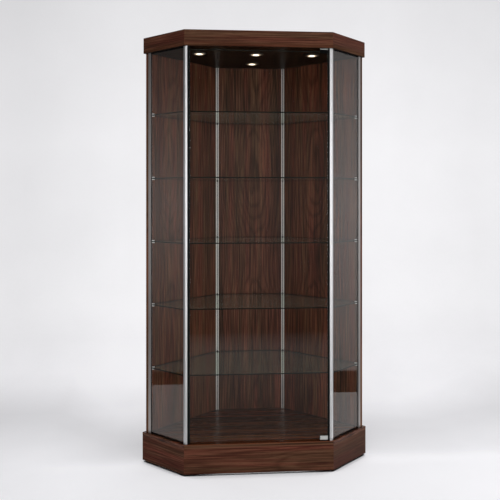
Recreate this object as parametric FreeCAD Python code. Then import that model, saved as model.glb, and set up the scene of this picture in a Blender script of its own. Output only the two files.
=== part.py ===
import FreeCAD, Part
import math
import os

# Corner curio cabinet: a wooden base and crown joined by six slotted aluminium uprights, with glass
# sides, laminated wall panels, five glass shelves on clips and one pivoted glass door.
# The plan is a symmetric hexagon.  X runs to the right, Y to the back of the room corner, Z up.
# The origin is on the floor, under the middle of the cabinet's bounding box.  Lengths in millimetres.

# Overall form, measured on the outer face of the crown
overall_height = 1980.0
crown_front_width = 668.0
flank_width = 193.0              # X and Y extent of each 45 degree side face
crown_depth = 538.0
crown_height = 72.0
base_height = 130.0
floor_gap = 8.0                  # air under the base, bridged by the levelling feet
body_setback = 9.0               # uprights and panels stand this far inside the crown
base_projection = 3.0            # the base stands this far outside the crown
edge_softening = 1.0             # small chamfer on the outer edges of the laminated boards

# Boards
board = 16.0
top_board_thickness = 12.0
top_board_recess = 2.0
panel_tongue_width = 4.0
panel_tongue_length = 6.0
tongue_clearance = 0.15
overrun = 1.0                    # how far a cutting shape passes the surface it opens

# Uprights
front_arm = 9.5                  # face width of a front upright, each side of its corner
front_wall = 14.0                # depth of its two end faces
front_corner_radius = 4.0
outer_upright = 16.0             # side of the square upright beside each wall panel
outer_chamfer = 6.0
back_arm = 8.5                   # face width of a back upright, each side of its corner
clip_slot_width = 3.5
clip_slot_depth = 2.5

# Side glass in its slots
side_glass = 5.0
side_glass_setback = 3.0         # from the body's side plane to the outer face of the glass
glass_slot_depth = 5.5
gasket = 0.5
gasket_lip = 1.0
gasket_rail = 5.0

# Shelves and their clips
shelf_count = 5
first_shelf_rise = 304.0         # base top to the top of the lowest shelf
top_shelf_drop = 286.0           # crown bottom to the top of the highest shelf; the rest lie evenly between
shelf_glass = 5.0
shelf_edge_bevel = 0.6
shelf_gap = 3.0                  # between a shelf and the walls or side glass
shelf_front_setback = 20.0       # shelf front edge behind the door's front plane
clip_width = 6.6
clip_reach = 12.0
clip_jaw = 4.0
clip_back = 2.0
clip_bevel = 0.5
shelf_clip_gap = 0.5
corner_cutter = 200.0            # reach of the shape that takes a shelf's corner off

# Door
door_glass = 6.0
door_edge_radius = 2.5           # rounded polished edge all round
door_side_gap = 8.5              # door glass to the end face of each front upright
door_top_gap = 14.0
door_bottom_gap = 8.0
seal_width = 6.5
seal_depth = 11.0
seal_setback = 1.0
stop_lip_reach = 5.5
stop_lip_thickness = 2.0
stop_lip_gap = 0.3

# Door hinges
clamp_length = 35.0
clamp_height = 18.0
clamp_wall = 3.5
clamp_floor = 2.2
clamp_edge_inset = 1.5
clamp_rounding = 0.8
top_clamp_gap = 3.0              # top clamp to the crown
bottom_clamp_gap = 5.0           # bottom clamp to the base
pivot_setback = 14.5             # pivot axis from the door glass's hinge edge
pin_radius = 3.0
pin_engagement = 12.0
bush_floor = 1.0                 # of each bush's depth in its board, beyond the pin's end
pin_running_clearance = 0.05
pad = 0.8
pad_margin = 1.0
bush_radius = 5.0
bush_flange_radius = 6.5
bush_flange_gap = 0.3
cover_height = 4.5
cover_thickness = 0.8
set_screw_radius = 2.0
set_screw_spacing = 20.0
set_screw_height = 5.0           # above or below the clamp's open edge

# Fasteners
screw_radius = 1.9
screw_head_radius = 3.6
screw_head_height = 2.4
screw_grip = 25.0
front_screw_depth = 5.4          # screw axis behind a front upright's inner face
front_screw_shift = 2.3          # and towards the door from the middle of that face
outer_screw_depth = 5.0          # screw axis from the wall panel in an outer upright
back_screw_depth = 6.0           # screw axis behind the inner corner in a back upright
panel_screw_count = 5
panel_screw_grip = 6.0
panel_screw_end = 120.0          # first and last screw from the panel's ends
panel_screw_setback = 12.5       # from the body's side plane

# Levelling feet
foot_inset = 50.0
foot_radius = 18.0
foot_pad_height = 6.0
foot_pad_chamfer = 1.5
foot_stem_radius = 4.0
foot_stem_length = 64.0
foot_stem_clearance = 0.5
insert_radius = 6.0
insert_length = 14.0
insert_flange_radius = 11.0
insert_flange = 2.0
block_size = 70.0
block_lift = 22.0                # bottom of a corner block above the bottom of the base

# Downlights
light_row_setback = 165.0        # front row of three, behind the crown's front face
light_row_spread = 266.0
back_light_inset = 150.0         # single light, in front of the crown's back face
housing_radius = 28.5
housing_height = 24.0
housing_wall = 2.5
bezel_overlap = 5.5              # bezel's reach beyond its housing
bezel_height = 3.5
bezel_chamfer = 1.5
lens_inset = 1.0                 # lens edge inside the housing's inner wall
lens_thickness = 2.0
light_hole_clearance = 0.5
led_board_thickness = 1.6

# Low-voltage supply inside the crown
distributor_length = 140.0
distributor_depth = 42.0
distributor_height = 24.0
distributor_rounding = 2.0
lead_radius = 2.0
lead_bend_share = 0.45           # part of each straight run that goes into the bend beside it
lead_light_run = 60.0            # straight run of a side lead at its light
lead_box_run = 50.0              # and at the distributor
lead_inlet_run = 40.0            # level run behind the inlet, then the same distance falling
inlet_offset = 45.0
inlet_radius = 8.0
inlet_flange_radius = 11.0
inlet_flange = 2.0
inlet_socket_radius = 3.2
inlet_socket_depth = 10.0
inlet_pin_radius = 1.2
inlet_pin_recess = 1.0
inlet_rise = 15.0                # inlet axis above the ceiling board

same_place = 1e-6                # coordinates closer than this are the same
half_turn = 0.5 * math.sqrt(2.0)
base_bottom = floor_gap
base_top = floor_gap + base_height
deck_underside = base_top - board
crown_bottom = overall_height - crown_height
ceiling_top = crown_bottom + board
body_height = crown_bottom - base_top
half_depth = crown_depth / 2.0
half_front = crown_front_width / 2.0
half_width = half_front + flank_width
front_plane = -half_depth + body_setback
shelf_pitch = (body_height - first_shelf_rise - top_shelf_drop) / (shelf_count - 1)
bush_depth = pin_engagement + bush_floor
bezel_radius = housing_radius + bezel_overlap
lens_radius = housing_radius - housing_wall - lens_inset
light_row = light_row_setback - half_depth
back_light = half_depth - back_light_inset
distributor_row = (light_row + back_light) / 2.0
inlet_height = ceiling_top + inlet_rise

# Outward normal of each face of the plan, and the distance of the crown's face from the origin
front = ((0.0, -1.0), half_depth)
right_side = ((half_turn, -half_turn), half_turn * (half_front + half_depth))
right_wall = ((half_turn, half_turn), half_turn * (half_width + flank_width - half_depth))
back = ((0.0, 1.0), half_depth)
left_wall = ((-half_turn, half_turn), right_wall[1])
left_side = ((-half_turn, -half_turn), right_side[1])
faces = [front, right_side, right_wall, back, left_wall, left_side]
face_names = ["front", "right_side", "right_wall", "back", "left_wall", "left_side"]


def vec(x, y, z=0.0):
    return FreeCAD.Vector(x, y, z)


def corner(face_a, face_b, inset_a, inset_b):
    """Plan point where two faces meet after each has moved inwards by its inset."""
    (ax, ay), reach_a = face_a
    (bx, by), reach_b = face_b
    distance_a = reach_a - inset_a
    distance_b = reach_b - inset_b
    det = ax * by - ay * bx
    return vec((distance_a * by - distance_b * ay) / det, (ax * distance_b - bx * distance_a) / det)


def outline(insets):
    """The six plan corners, starting at the front left; insets is one value or one for each face."""
    if not isinstance(insets, (list, tuple)):
        insets = [insets] * len(faces)
    return [corner(faces[i - 1], faces[i], insets[i - 1], insets[i]) for i in range(len(faces))]


def prism(points, low, high):
    ring = [vec(p.x, p.y, low) for p in points]
    face = Part.Face(Part.makePolygon(ring + [ring[0]]))
    return face.extrude(vec(0, 0, high - low))


def box(low, high):
    size = high - low
    return Part.makeBox(size.x, size.y, size.z, low)


def disc(x, y, low, high, radius):
    return Part.makeCylinder(radius, high - low, vec(x, y, low))


def patch(origin, along, across, a0, a1, b0, b1):
    """Rectangle in plan, from origin, between two distances along and two across."""
    return [origin + along * a + across * b for a, b in ((a0, b0), (a1, b0), (a1, b1), (a0, b1))]


def mirrored(shape):
    return shape.mirror(vec(0, 0), vec(1, 0))


def level_edges(shape, z):
    return [e for e in shape.Edges if all(abs(v.Z - z) < same_place for v in e.Vertexes)]


def upright_edges(shape):
    found = []
    for edge in shape.Edges:
        start, end = edge.Vertexes[0].Point, edge.Vertexes[-1].Point
        if abs(start.x - end.x) < same_place and abs(start.y - end.y) < same_place:
            found.append(edge)
    return found


def softened_block(inset, low, high, soft_level):
    """Full-plan board whose outer upright edges and the edges at one level are slightly chamfered."""
    block = prism(outline(inset), low, high)
    edges = upright_edges(block) + level_edges(block, soft_level)
    return block.makeChamfer(edge_softening, edges)


def ring_boards(inset, low, high, soft_level):
    """Six mitred boards around the plan, as a list in the order of faces."""
    ring = softened_block(inset, low, high, soft_level)
    ring = ring.cut(prism(outline(inset + board), low, high))
    outside = outline(inset - board)
    inside = outline(inset + 2 * board)
    boards = []
    for i in range(len(faces)):
        j = (i + 1) % len(faces)
        wedge = prism([outside[i], outside[j], inside[j], inside[i]], low, high)
        boards.append(ring.common(wedge))
    return boards


def screw(head_centre, direction, length):
    """Countersunk screw, its head flush with the work; direction points into the work."""
    shank = Part.makeCylinder(screw_radius, length, head_centre, direction)
    head = Part.makeCone(screw_head_radius, screw_radius, screw_head_height, head_centre, direction)
    return head.fuse(shank).removeSplitter()


# ---- plan stations of the right-hand half -------------------------------------------------------

toward_front = vec(-half_turn, -half_turn)       # along the right side face, and into the right wall
into_side = vec(-half_turn, half_turn)           # into the right side face, and along the right wall
outer_corner = corner(right_side, right_wall, body_setback, body_setback)
front_corner = corner(front, right_side, body_setback, body_setback)
side_length = (outer_corner - front_corner).Length
back_outer = corner(right_wall, back, body_setback, body_setback)
back_inner = corner(right_wall, back, body_setback + board, body_setback + board)
door_edge = front_corner.x - front_arm - door_side_gap
glass_low = side_glass_setback - gasket
glass_high = side_glass_setback + side_glass + gasket
outer_end = board + outer_upright
front_end = side_length - front_arm

# Middle of each upright's inner face, and the direction in which that face looks
front_station = (front_corner + vec(-front_arm, front_wall)
                 + front_corner - toward_front * front_arm + into_side * front_wall) * 0.5
front_look = vec(-math.sin(math.pi / 8), math.cos(math.pi / 8))
outer_station = (outer_corner + toward_front * (outer_end - outer_chamfer / 2)
                 + into_side * (outer_upright - outer_chamfer / 2))
outer_look = vec(-1, 0)
back_station = back_inner + (vec(-1, 0) + vec(half_turn, -half_turn)) * (back_arm / 2)
back_look = vec(-math.sin(math.pi / 8), -math.cos(math.pi / 8))
stations = [(front_station, front_look), (outer_station, outer_look), (back_station, back_look)]

# Screw axes in the ends of the right-hand uprights
front_screw = (front_station - front_look * front_screw_depth
               - front_look.cross(vec(0, 0, 1)) * front_screw_shift)
outer_screw = outer_corner + toward_front * (board + outer_screw_depth) + into_side * (outer_upright / 2)
back_screw = back_inner - back_look * back_screw_depth
screw_axes = [front_screw, outer_screw, back_screw]


def clip_slot(station, look):
    across = look.cross(vec(0, 0, 1))
    half = clip_slot_width / 2
    return prism(patch(station, look, across, -clip_slot_depth, overrun, -half, half), base_top, crown_bottom)


def end_holes(axis):
    low = disc(axis.x, axis.y, base_top, base_top + screw_grip, screw_radius)
    high = disc(axis.x, axis.y, crown_bottom - screw_grip, crown_bottom, screw_radius)
    return low.fuse(high)


# ---- uprights -----------------------------------------------------------------------------------

def front_upright():
    front_face_end = front_corner + vec(-front_arm, 0)
    side_face_end = front_corner - toward_front * front_arm
    section = [front_face_end, front_corner, side_face_end,
               side_face_end + into_side * front_wall, front_face_end + vec(0, front_wall)]
    post = prism(section, base_top, crown_bottom)
    nose = [e for e in upright_edges(post)
            if abs(e.Vertexes[0].X - front_corner.x) < same_place
            and abs(e.Vertexes[0].Y - front_corner.y) < same_place]
    post = post.makeFillet(front_corner_radius, nose)
    glass_slot = prism(patch(outer_corner, toward_front, into_side, front_end - overrun,
                             front_end + glass_slot_depth, glass_low, glass_high), base_top, crown_bottom)
    return post.cut(glass_slot).cut(clip_slot(front_station, front_look)).cut(end_holes(front_screw))


def panel_screw_heights():
    first = base_top + panel_screw_end
    step = (body_height - 2 * panel_screw_end) / (panel_screw_count - 1)
    return [first + step * i for i in range(panel_screw_count)]


def panel_screw(height):
    """Screw through the wall panel into the outer upright, its head flush with the panel."""
    entry = outer_corner + into_side * panel_screw_setback + vec(0, 0, height)
    return screw(entry, toward_front, board + panel_screw_grip)


def outer_post():
    e = toward_front
    n = into_side
    o = outer_corner
    section = [o + e * board, o + e * outer_end, o + e * outer_end + n * (outer_upright - outer_chamfer),
               o + e * (outer_end - outer_chamfer) + n * outer_upright, o + e * board + n * outer_upright]
    post = prism(section, base_top, crown_bottom)
    glass_slot = prism(patch(o, e, n, outer_end - glass_slot_depth, outer_end + overrun,
                             glass_low, glass_high), base_top, crown_bottom)
    post = post.cut(glass_slot).cut(clip_slot(outer_station, outer_look)).cut(end_holes(outer_screw))
    for height in panel_screw_heights():
        post = post.cut(panel_screw(height))
    return post


back_along = vec(-1, 0)                          # from the back corner along the back panel
wall_along = vec(half_turn, -half_turn)          # from the back corner along the wall panel
back_out = vec(0, 1)
wall_out = vec(half_turn, half_turn)


def tongue(along, out, length, clearance):
    """Panel tongue, or with a clearance the groove for it, in the end face of a back upright."""
    half = panel_tongue_width / 2 + clearance
    start = back_arm + (overrun if clearance else 0.0)
    return prism(patch(back_inner, along, out, back_arm - length - 2 * clearance, start,
                       board / 2 - half, board / 2 + half), base_top, crown_bottom)


def back_post():
    back_end = back_inner + back_along * back_arm
    wall_end = back_inner + wall_along * back_arm
    section = [back_end, back_end + back_out * board, back_outer, wall_end + wall_out * board, wall_end]
    post = prism(section, base_top, crown_bottom)
    post = post.cut(tongue(back_along, back_out, panel_tongue_length, tongue_clearance))
    post = post.cut(tongue(wall_along, wall_out, panel_tongue_length, tongue_clearance))
    return post.cut(clip_slot(back_station, back_look)).cut(end_holes(back_screw))


# ---- panels and side glass ----------------------------------------------------------------------

def wall_panel():
    wall_end = back_inner + wall_along * back_arm
    section = [outer_corner, outer_corner + toward_front * board, wall_end, wall_end + wall_out * board]
    panel = prism(section, base_top, crown_bottom)
    panel = panel.fuse(tongue(wall_along, wall_out, panel_tongue_length, 0.0)).removeSplitter()
    for height in panel_screw_heights():
        panel = panel.cut(panel_screw(height))
    return panel


def back_board_panel():
    half = back_inner.x - back_arm
    panel = box(vec(-half, back_inner.y, base_top), vec(half, back_inner.y + board, crown_bottom))
    right = tongue(back_along, back_out, panel_tongue_length, 0.0)
    return panel.fuse(right).fuse(mirrored(right)).removeSplitter()


def side_pane():
    return prism(patch(outer_corner, toward_front, into_side,
                       outer_end - glass_slot_depth + gasket, front_end + glass_slot_depth - gasket,
                       side_glass_setback, side_glass_setback + side_glass),
                 base_top + 2 * gasket, crown_bottom - 2 * gasket)


def side_gasket():
    """One continuous U-section strip around the whole edge of a side pane."""
    around = prism(patch(outer_corner, toward_front, into_side, outer_end - glass_slot_depth,
                         front_end + glass_slot_depth, glass_low, glass_high), base_top, crown_bottom)
    window = prism(patch(outer_corner, toward_front, into_side, outer_end + gasket_lip,
                         front_end - gasket_lip, glass_low - overrun, glass_high + overrun),
                   base_top + gasket_rail, crown_bottom - gasket_rail)
    return around.cut(window).cut(side_pane())


# ---- shelves ------------------------------------------------------------------------------------

def shelf_top(index):
    return base_top + first_shelf_rise + shelf_pitch * index


def cut_corner(shape, station, look, reach):
    """Take off what lies nearer the upright than reach, measured along its look direction."""
    across = look.cross(vec(0, 0, 1))
    tool = prism(patch(station, look, across, reach - corner_cutter, reach, -corner_cutter, corner_cutter),
                 0.0, overall_height)
    return shape.cut(tool)


def shelf(index):
    top = shelf_top(index)
    side_inset = body_setback + side_glass_setback + side_glass + shelf_gap
    wall_inset = body_setback + board + shelf_gap
    plan = outline([body_setback + shelf_front_setback, side_inset, wall_inset,
                    wall_inset, wall_inset, side_inset])
    glass = prism(plan, top - shelf_glass, top)
    for station, look in stations:
        reach = clip_back + shelf_clip_gap
        glass = cut_corner(glass, station, look, reach)
        glass = cut_corner(glass, vec(-station.x, station.y), vec(-look.x, look.y), reach)
    rims = level_edges(glass, top) + level_edges(glass, top - shelf_glass)
    return glass.makeChamfer(shelf_edge_bevel, rims)


def shelf_clip(station, look, top):
    """Channel clip: jaws above and below the glass and a tongue in the upright's slot."""
    across = look.cross(vec(0, 0, 1))
    half = clip_width / 2
    low = top - shelf_glass - clip_jaw
    high = top + clip_jaw
    body = prism(patch(station, look, across, 0.0, clip_reach, -half, half), low, high)
    nose = [e for e in body.Edges if e.CenterOfMass.sub(station).dot(look) > clip_reach - same_place]
    body = body.makeChamfer(clip_bevel, nose)
    mouth = prism(patch(station, look, across, clip_back, clip_reach + overrun,
                        -half - overrun, half + overrun),
                  top - shelf_glass, top)
    slide = clip_slot_width / 2 - tongue_clearance
    key = prism(patch(station, look, across, tongue_clearance - clip_slot_depth, 0.0, -slide, slide),
                low + clip_bevel, high - clip_bevel)
    return body.cut(mouth).fuse(key).removeSplitter()


def shelf_clips(index):
    top = shelf_top(index)
    right = [shelf_clip(station, look, top) for station, look in stations]
    return right + [mirrored(clip) for clip in right]


# ---- door ---------------------------------------------------------------------------------------

door_bottom = base_top + door_bottom_gap
door_top = crown_bottom - door_top_gap
door_middle = front_plane + door_glass / 2
pivot_x = door_edge - pivot_setback
clamp_right = door_edge - clamp_edge_inset
clamp_left = clamp_right - clamp_length
clamp_half = door_glass / 2 + pad + clamp_wall


def door_pane():
    pane = box(vec(-door_edge, front_plane, door_bottom), vec(door_edge, front_plane + door_glass, door_top))
    rims = [e for e in pane.Edges if abs(e.Vertexes[0].Y - e.Vertexes[-1].Y) < same_place]
    return pane.makeFillet(door_edge_radius, rims)


def clamp_block(low, high, slot_low, slot_high):
    block = box(vec(clamp_left, door_middle - clamp_half, low),
                vec(clamp_right, door_middle + clamp_half, high))
    block = block.makeFillet(clamp_rounding, block.Edges)
    slot = box(vec(clamp_left - overrun, door_middle - door_glass / 2 - pad, slot_low),
               vec(clamp_right + overrun, door_middle + door_glass / 2 + pad, slot_high))
    return block.cut(slot)


def set_screws(height):
    middle = (clamp_left + clamp_right) / 2
    start = door_middle + door_glass / 2 + pad
    return [Part.makeCylinder(set_screw_radius, clamp_wall, vec(x, start, height), vec(0, 1, 0))
            for x in (middle - set_screw_spacing / 2, middle + set_screw_spacing / 2)]


def pad_liner(low, high):
    liner = box(vec(clamp_left - pad_margin, door_middle - door_glass / 2 - pad, low),
                vec(clamp_right, door_middle + door_glass / 2 + pad, high))
    return liner.cut(door_pane())


def hinge_bush(low, high, flange_low, flange_high):
    bush = disc(pivot_x, door_middle, low, high, bush_radius)
    bush = bush.fuse(disc(pivot_x, door_middle, flange_low, flange_high, bush_flange_radius))
    bore = disc(pivot_x, door_middle, base_bottom, overall_height, pin_radius + pin_running_clearance)
    return bush.cut(bore).removeSplitter()


def hinge_parts():
    """Pivot clamps, pads, pins and set screws on the door, and the bushes they turn in."""
    foot_low = base_top + bottom_clamp_gap
    foot_high = foot_low + clamp_height
    head_high = crown_bottom - top_clamp_gap
    head_low = head_high - clamp_height
    low_pin = disc(pivot_x, door_middle, base_top - pin_engagement, foot_low + clamp_floor, pin_radius)
    high_pin = disc(pivot_x, door_middle, door_top + pad, crown_bottom + pin_engagement, pin_radius)
    low_screws = set_screws(foot_high - set_screw_height)
    high_screws = set_screws(head_low + set_screw_height)
    bottom_clamp = clamp_block(foot_low, foot_high, foot_low + clamp_floor, foot_high + overrun).cut(low_pin)
    top_clamp = clamp_block(head_low, head_high, head_low - overrun, door_top + pad).cut(high_pin)
    for item in low_screws:
        bottom_clamp = bottom_clamp.cut(item)
    for item in high_screws:
        top_clamp = top_clamp.cut(item)
    cover = box(vec(clamp_left, door_middle - clamp_half - cover_thickness, head_high - cover_height),
                vec(clamp_right, door_middle - clamp_half, head_high))
    low_bush = hinge_bush(base_top - bush_depth, base_top, base_top, foot_low - bush_flange_gap)
    high_bush = hinge_bush(crown_bottom, crown_bottom + bush_depth,
                           head_high + bush_flange_gap, crown_bottom)
    pads = [pad_liner(foot_low + clamp_floor, foot_high + pad_margin),
            pad_liner(head_low - pad_margin, door_top + pad)]
    return {
        "bottom_hinge_clamp": [bottom_clamp],
        "top_hinge_clamp": [top_clamp],
        "top_hinge_cover": [cover],
        "hinge_pads": pads,
        "hinge_pins": [low_pin, high_pin],
        "hinge_set_screws": low_screws + high_screws,
        "hinge_bushes": [low_bush, high_bush],
    }


def door_seal():
    """Right-hand seal: a plain strip on the end face of the upright."""
    edge = front_corner.x - front_arm
    return box(vec(edge - seal_width, front_plane + seal_setback, base_top),
               vec(edge, front_plane + seal_setback + seal_depth, crown_bottom))


def stop_seal():
    """Left-hand seal: the same strip with a lip that the closed door rests against."""
    lip_front = front_plane + door_glass + stop_lip_gap
    edge = front_corner.x - front_arm - seal_width
    lip = box(vec(-edge, lip_front, base_top),
              vec(-edge + stop_lip_reach, lip_front + stop_lip_thickness, crown_bottom))
    return mirrored(door_seal()).fuse(lip).removeSplitter()


# ---- base, crown and feet -----------------------------------------------------------------------

def upright_screw_set():
    low = [screw(vec(p.x, p.y, deck_underside), vec(0, 0, 1), board + screw_grip) for p in screw_axes]
    high = [screw(vec(p.x, p.y, ceiling_top), vec(0, 0, -1), board + screw_grip) for p in screw_axes]
    right = low + high
    return right + [mirrored(item) for item in right]


def light_places():
    front_row = [(x, light_row) for x in (-light_row_spread, 0.0, light_row_spread)]
    return front_row + [(0.0, back_light)]


def drilled(shape, tools):
    for tool in tools:
        shape = shape.cut(tool)
    return shape


def deck():
    shape = softened_block(-base_projection, deck_underside, base_top, base_top)
    bush_hole = disc(pivot_x, door_middle, base_top - bush_depth, base_top, bush_radius)
    return drilled(shape, upright_screw_set() + [bush_hole])


def ceiling():
    shape = softened_block(0.0, crown_bottom, ceiling_top, crown_bottom)
    bush_hole = disc(pivot_x, door_middle, crown_bottom, crown_bottom + bush_depth, bush_radius)
    light_holes = [disc(x, y, crown_bottom, ceiling_top, housing_radius + light_hole_clearance)
                   for x, y in light_places()]
    return drilled(shape, upright_screw_set() + [bush_hole] + light_holes)


def crown_lid():
    high = overall_height - top_board_recess
    return prism(outline(board), high - top_board_thickness, high)


def foot_places():
    return outline(foot_inset)


def corner_block(place):
    half = block_size / 2
    low = base_bottom + block_lift
    inside = prism(outline(board - base_projection), low, deck_underside)
    block = box(vec(place.x - half, place.y - half, low),
                vec(place.x + half, place.y + half, deck_underside))
    block = block.common(inside)
    block = block.cut(disc(place.x, place.y, low, low + insert_length, insert_radius))
    stem_hole = disc(place.x, place.y, low, deck_underside, foot_stem_radius + foot_stem_clearance)
    return block.cut(stem_hole)


def foot_insert(place):
    low = base_bottom + block_lift
    body = disc(place.x, place.y, low, low + insert_length, insert_radius)
    body = body.fuse(disc(place.x, place.y, low - insert_flange, low, insert_flange_radius))
    return body.cut(disc(place.x, place.y, 0.0, deck_underside, foot_stem_radius)).removeSplitter()


def levelling_foot(place):
    pad_disc = disc(place.x, place.y, 0.0, foot_pad_height, foot_radius)
    pad_disc = pad_disc.makeChamfer(foot_pad_chamfer, level_edges(pad_disc, foot_pad_height))
    stem = disc(place.x, place.y, foot_pad_height, foot_pad_height + foot_stem_length, foot_stem_radius)
    return pad_disc.fuse(stem).removeSplitter()


# ---- lights and their supply --------------------------------------------------------------------

def bezel(x, y):
    low = crown_bottom - bezel_height
    ring = disc(x, y, low, crown_bottom, bezel_radius)
    ring = ring.makeChamfer(bezel_chamfer, level_edges(ring, low))
    return ring.cut(disc(x, y, low, crown_bottom, lens_radius))


def lens(x, y):
    return disc(x, y, crown_bottom - lens_thickness, crown_bottom, lens_radius)


def housing_body(x, y):
    return disc(x, y, crown_bottom, crown_bottom + housing_height, housing_radius)


def housing(x, y):
    cup = housing_body(x, y)
    hollow = disc(x, y, crown_bottom, crown_bottom + housing_height - housing_wall,
                  housing_radius - housing_wall)
    return cup.cut(hollow)


def led_board(x, y):
    high = crown_bottom + housing_height - housing_wall
    return disc(x, y, high - led_board_thickness, high, housing_radius - housing_wall)


def distributor_box():
    half = distributor_length / 2
    shape = box(vec(-half, distributor_row - distributor_depth / 2, ceiling_top),
                vec(half, distributor_row + distributor_depth / 2, ceiling_top + distributor_height))
    lid_edges = level_edges(shape, ceiling_top + distributor_height) + upright_edges(shape)
    return shape.makeFillet(distributor_rounding, lid_edges)


def lead(route):
    """Round lead along straight runs joined by tangent arcs."""
    edges = []
    start = route[0]
    for before, at, after in zip(route, route[1:], route[2:]):
        inward = (at - before).normalize()
        outward = (after - at).normalize()
        turn = inward.getAngle(outward)
        trim = lead_bend_share * min((at - before).Length, (after - at).Length)
        bend_radius = trim / math.tan(turn / 2)
        to_centre = (outward - inward).normalize()
        centre = at + to_centre * (bend_radius / math.cos(turn / 2))
        arc_start = at - inward * trim
        arc_end = at + outward * trim
        edges.append(Part.LineSegment(start, arc_start).toShape())
        edges.append(Part.Arc(arc_start, centre - to_centre * bend_radius, arc_end).toShape())
        start = arc_end
    edges.append(Part.LineSegment(start, route[-1]).toShape())
    first_run = (route[1] - route[0]).normalize()
    section = Part.Wire([Part.Circle(route[0], first_run, lead_radius).toShape()])
    return Part.Wire(edges).makePipeShell([section], True, False)


def lamp_leads():
    """Leads from the distributor to the four lights and from the inlet, resting on the ceiling board."""
    box_half = distributor_length / 2
    front_of_box = distributor_row - distributor_depth / 2
    back_of_box = distributor_row + distributor_depth / 2
    rest = ceiling_top + lead_radius
    side_light = light_row_spread - housing_radius
    side_lead = lead([vec(side_light, light_row, rest),
                      vec(side_light - lead_light_run, light_row, rest),
                      vec(box_half + lead_box_run, distributor_row, rest),
                      vec(box_half, distributor_row, rest)])
    front_lead = lead([vec(0, light_row + housing_radius, rest), vec(0, front_of_box, rest)])
    rear_lead = lead([vec(0, back_light - housing_radius, rest), vec(0, back_of_box, rest)])
    inlet_lead = lead([vec(inlet_offset, half_depth - board, inlet_height),
                       vec(inlet_offset, half_depth - board - lead_inlet_run, inlet_height),
                       vec(inlet_offset, half_depth - board - 2 * lead_inlet_run, rest),
                       vec(inlet_offset, back_of_box, rest)])
    joined = [housing_body(x, y) for x, y in light_places()]
    return [drilled(item, joined) for item in (side_lead, mirrored(side_lead), front_lead, rear_lead,
                                               inlet_lead)]


def inlet_hole():
    start = vec(inlet_offset, half_depth - board, inlet_height)
    return Part.makeCylinder(inlet_radius, board, start, vec(0, 1, 0))


def power_inlet():
    """Barrel socket through the crown's back board, with its flange outside."""
    outward = vec(0, 1, 0)
    socket_floor = vec(inlet_offset, half_depth + inlet_flange - inlet_socket_depth, inlet_height)
    flange = Part.makeCylinder(inlet_flange_radius, inlet_flange,
                               vec(inlet_offset, half_depth, inlet_height), outward)
    socket = Part.makeCylinder(inlet_socket_radius, inlet_socket_depth, socket_floor, outward)
    pin = Part.makeCylinder(inlet_pin_radius, inlet_socket_depth - inlet_pin_recess, socket_floor, outward)
    return inlet_hole().fuse(flange).cut(socket).fuse(pin).removeSplitter()


# ---- write one STEP file for each node ----------------------------------------------------------

def build():
    nodes = {}
    places = foot_places()
    nodes["levelling_feet"] = [levelling_foot(p) for p in places]
    nodes["foot_inserts"] = [foot_insert(p) for p in places]
    nodes["base_corner_blocks"] = [drilled(corner_block(p), upright_screw_set()) for p in places]
    base_boards = ring_boards(-base_projection, base_bottom, deck_underside, base_bottom)
    for name, shape in zip(face_names, base_boards):
        nodes["base_" + name + "_board"] = [shape]
    nodes["base_deck"] = [deck()]

    pairs = {"front": front_upright(), "outer": outer_post(), "back": back_post()}
    for name, shape in pairs.items():
        nodes[name + "_right_upright"] = [shape]
        nodes[name + "_left_upright"] = [mirrored(shape)]
    nodes["right_wall_panel"] = [wall_panel()]
    nodes["left_wall_panel"] = [mirrored(wall_panel())]
    nodes["back_panel"] = [back_board_panel()]
    nodes["right_side_glass"] = [side_pane()]
    nodes["left_side_glass"] = [mirrored(side_pane())]
    nodes["side_glass_gaskets"] = [side_gasket(), mirrored(side_gasket())]
    panel_screws = [panel_screw(height) for height in panel_screw_heights()]
    nodes["wall_panel_screws"] = panel_screws + [mirrored(item) for item in panel_screws]
    nodes["upright_screws"] = upright_screw_set()
    for index in range(shelf_count):
        nodes["glass_shelf_%d" % (index + 1)] = [shelf(index)]
        nodes["shelf_clips_%d" % (index + 1)] = shelf_clips(index)

    nodes["door_glass"] = [door_pane()]
    nodes.update(hinge_parts())
    nodes["right_door_seal"] = [door_seal()]
    nodes["left_door_seal"] = [stop_seal()]

    nodes["ceiling_board"] = [ceiling()]
    crown_boards = ring_boards(0.0, ceiling_top, overall_height, overall_height)
    for name, shape in zip(face_names, crown_boards):
        if name == "back":
            shape = shape.cut(inlet_hole())
        nodes["crown_" + name + "_board"] = [shape]
    nodes["crown_top_board"] = [crown_lid()]
    lights = light_places()
    nodes["downlight_bezels"] = [bezel(x, y) for x, y in lights]
    nodes["downlight_lenses"] = [lens(x, y) for x, y in lights]
    nodes["downlight_housings"] = [housing(x, y) for x, y in lights]
    nodes["downlight_led_boards"] = [led_board(x, y) for x, y in lights]
    nodes["lamp_distributor"] = [distributor_box()]
    nodes["lamp_leads"] = lamp_leads()
    nodes["power_inlet"] = [power_inlet()]
    return nodes


os.makedirs("parts", exist_ok=True)
for node, solids in build().items():
    shape = solids[0] if len(solids) == 1 else Part.makeCompound(solids)
    shape.exportStep("parts/%s.step" % node)
    size = (node, len(shape.Solids), shape.Volume / 1000, shape.isValid())
    print("%-28s %2d solids  %10.1f cm3  valid %s" % size)
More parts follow.
